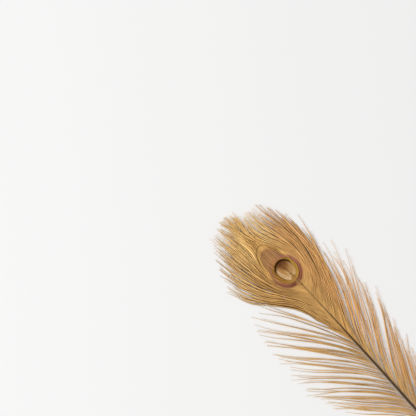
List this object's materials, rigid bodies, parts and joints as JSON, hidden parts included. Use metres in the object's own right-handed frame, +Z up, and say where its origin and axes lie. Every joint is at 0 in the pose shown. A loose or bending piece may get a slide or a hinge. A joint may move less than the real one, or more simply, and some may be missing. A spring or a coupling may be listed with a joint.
{
  "type": "peacock feather",
  "caption": "Dyed peacock eye feather lying flat: arched shaft, dense web with an oval eye, and long loose barbs on both sides.",
  "frame": {"origin": "on the surface that the feather lies on, under the middle of its box", "axes": "+Y along the shaft from the quill to the tip, +Z up from the surface, and the narrower vane towards +X"},
  "size_m": [0.0904, 0.3001, 0.0062],
  "materials": {
    "feather": "dyed barbs, golden tan, soft low sheen, with a brown and olive eye; the shaft is bare horn of a darker brown"
  },
  "bodies": {
    "root": {"feather": "feather"}
  },
  "joints": []
}
